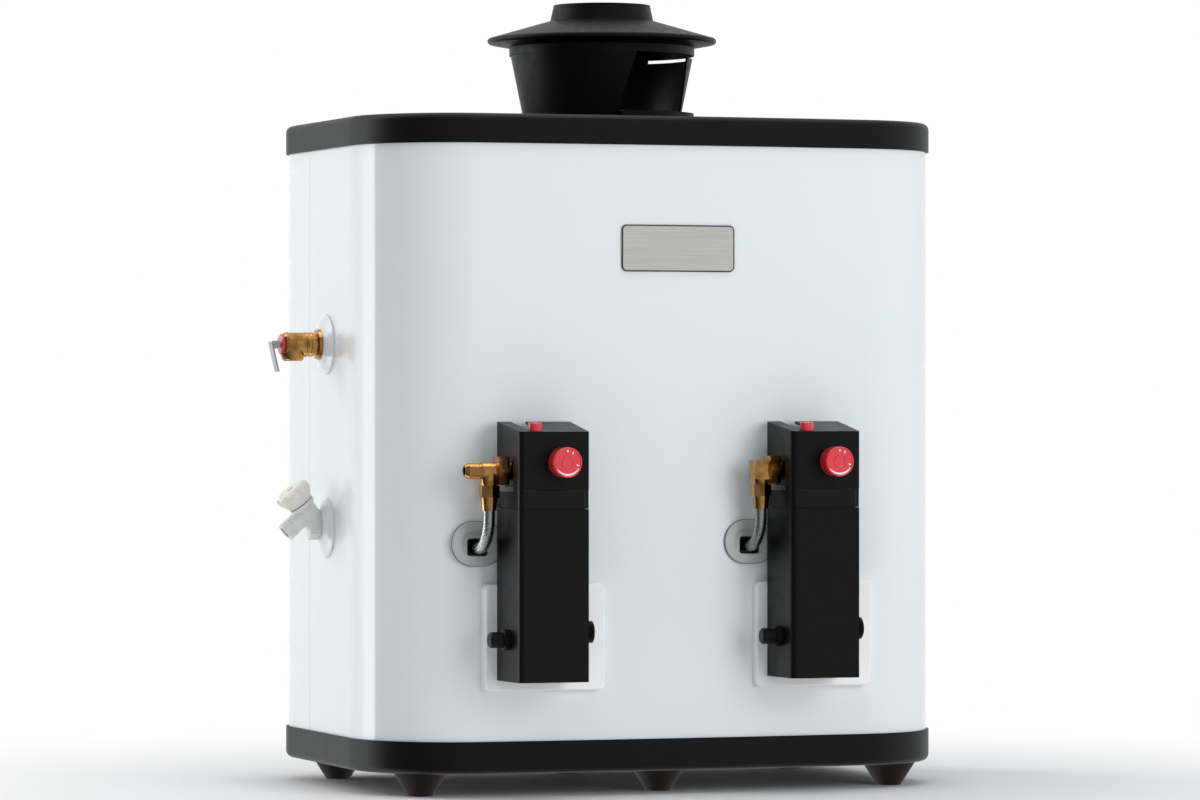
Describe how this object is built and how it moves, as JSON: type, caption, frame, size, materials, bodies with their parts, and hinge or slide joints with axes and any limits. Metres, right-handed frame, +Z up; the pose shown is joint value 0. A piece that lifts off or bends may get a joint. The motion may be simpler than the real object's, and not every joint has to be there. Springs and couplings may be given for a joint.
{
  "type": "gas water heater",
  "caption": "Floor-standing gas storage water heater with a white cabinet, black cap, base and draft hood, and paired control modules linked by a braided gas hose.",
  "frame": {"origin": "on the floor under the middle of the whole outline, protruding valves, water nipples and control knobs included", "axes": "+X to the heater's right as seen from its front, +Y towards its back, +Z up; the control modules face -Y"},
  "size_m": [0.7636, 0.5164, 0.842],
  "materials": {
    "white_enamel": "gloss enamel",
    "black_enamel": "satin enamel",
    "brown_rubber": "matte",
    "steel_plate": "brushed",
    "grey_plate": "satin",
    "black_cover": "satin",
    "red_plastic": "gloss",
    "brass": "machined",
    "chrome": "polished",
    "pale_plastic": "satin",
    "cream_plastic": "satin",
    "zinc_steel": "zinc plated",
    "tank_steel": "enamelled",
    "glass_wool": "fibrous",
    "anode_alloy": "satin",
    "braided_hose": "braided"
  },
  "bodies": {
    "heater": {"front_wrapper": "white_enamel", "rear_panel": "white_enamel", "top_cap": "black_enamel", "base_tray": "black_enamel", "casing_screws": "zinc_steel", "feet": "brown_rubber", "foot_fasteners": "zinc_steel", "nameplate": "steel_plate", "hood_base_ring": "black_enamel", "hood_front_plate": "black_enamel", "hood_rear_plate": "black_enamel", "hood_brim": "black_enamel", "tank_left": "tank_steel", "tank_right": "tank_steel", "insulation_jackets": "glass_wool", "tank_crossovers": "tank_steel", "anode_rods": "anode_alloy", "flue_baffles": "zinc_steel", "flue_collector": "tank_steel", "chamber_left": "zinc_steel", "chamber_right": "zinc_steel", "burner_left": "zinc_steel", "burner_right": "zinc_steel", "escutcheons": "white_enamel", "hot_outlet_nipple": "zinc_steel", "cold_inlet_nipple": "zinc_steel", "relief_valve_body": "brass", "relief_valve_cap": "red_plastic", "drain_valve_body": "pale_plastic", "gas_inlet_tee": "brass", "gas_elbow": "brass", "flare_nuts": "brass", "gas_hose": "braided_hose", "left_hose_plate": "grey_plate", "right_hose_plate": "grey_plate", "left_control_valve": "zinc_steel", "left_control_cover": "black_cover", "left_tube_cover": "black_cover", "left_igniter_body": "black_cover", "left_burner_door": "white_enamel", "left_gas_tubes": "zinc_steel", "right_control_valve": "zinc_steel", "right_control_cover": "black_cover", "right_tube_cover": "black_cover", "right_igniter_body": "black_cover", "right_burner_door": "white_enamel", "right_gas_tubes": "zinc_steel"},
    "relief_stem": {"relief_valve_stem": "brass"},
    "relief_lever": {"relief_valve_lever": "chrome"},
    "drain_plug": {"drain_valve_plug": "pale_plastic"},
    "drain_knob": {"drain_valve_knob": "cream_plastic"},
    "left_knob": {"left_temperature_knob": "red_plastic"},
    "left_pilot": {"left_pilot_button": "red_plastic"},
    "left_igniter": {"left_igniter_button": "black_cover"},
    "left_latch": {"left_cover_latch": "black_cover"},
    "right_knob": {"right_temperature_knob": "red_plastic"},
    "right_pilot": {"right_pilot_button": "red_plastic"},
    "right_igniter": {"right_igniter_button": "black_cover"},
    "right_latch": {"right_cover_latch": "black_cover"}
  },
  "joints": [
    {"name": "left_knob_turn", "type": "hinge", "parent": "heater", "child": "left_knob", "pos_m": [-0.155, -0.24802, 0.349], "axis": [0, 1, 0], "range_deg": [-45, 180]},
    {"name": "left_pilot_press", "type": "slide", "parent": "heater", "child": "left_pilot", "axis": [0, 0, -1], "range_m": [0, 0.006], "stiffness_N_per_m": 300, "springref_m": -0.002},
    {"name": "left_igniter_press", "type": "slide", "parent": "heater", "child": "left_igniter", "axis": [1, 0, 0], "range_m": [0, 0.008], "stiffness_N_per_m": 400, "springref_m": -0.002},
    {"name": "left_latch_turn", "type": "hinge", "parent": "heater", "child": "left_latch", "pos_m": [-0.12425, -0.20302, 0.173], "axis": [1, 0, 0], "range_deg": [0, 90]},
    {"name": "right_knob_turn", "type": "hinge", "parent": "heater", "child": "right_knob", "pos_m": [0.145, -0.24802, 0.349], "axis": [0, 1, 0], "range_deg": [-45, 180]},
    {"name": "right_pilot_press", "type": "slide", "parent": "heater", "child": "right_pilot", "axis": [0, 0, -1], "range_m": [0, 0.006], "stiffness_N_per_m": 300, "springref_m": -0.002},
    {"name": "right_igniter_press", "type": "slide", "parent": "heater", "child": "right_igniter", "axis": [1, 0, 0], "range_m": [0, 0.008], "stiffness_N_per_m": 400, "springref_m": -0.002},
    {"name": "right_latch_turn", "type": "hinge", "parent": "heater", "child": "right_latch", "pos_m": [0.17575, -0.20302, 0.173], "axis": [1, 0, 0], "range_deg": [0, 90]},
    {"name": "relief_stem_slide", "type": "slide", "parent": "heater", "child": "relief_stem", "axis": [-1, 0, 0], "range_m": [0, 0.003], "stiffness_N_per_m": 400, "springref_m": -0.002},
    {"name": "relief_lever_turn", "type": "hinge", "parent": "relief_stem", "child": "relief_lever", "pos_m": [-0.378, 0.047, 0.472], "axis": [0, 1, 0], "range_deg": [0, 85]},
    {"name": "drain_plug_slide", "type": "slide", "parent": "heater", "child": "drain_plug", "axis": [-0.6157, 0, 0.788], "range_m": [0, 0.004]},
    {"name": "drain_knob_turn", "type": "hinge", "parent": "drain_plug", "child": "drain_knob", "pos_m": [-0.3345, 0.047, 0.283], "axis": [-0.6157, 0, 0.788], "range_deg": [0, 360]}
  ],
  "couplings": [
    {"joint": "relief_lever_turn", "follows": "relief_stem_slide", "rad_per_m": 494.4},
    {"joint": "drain_plug_slide", "follows": "drain_knob_turn", "m_per_rad": 0.000636}
  ]
}
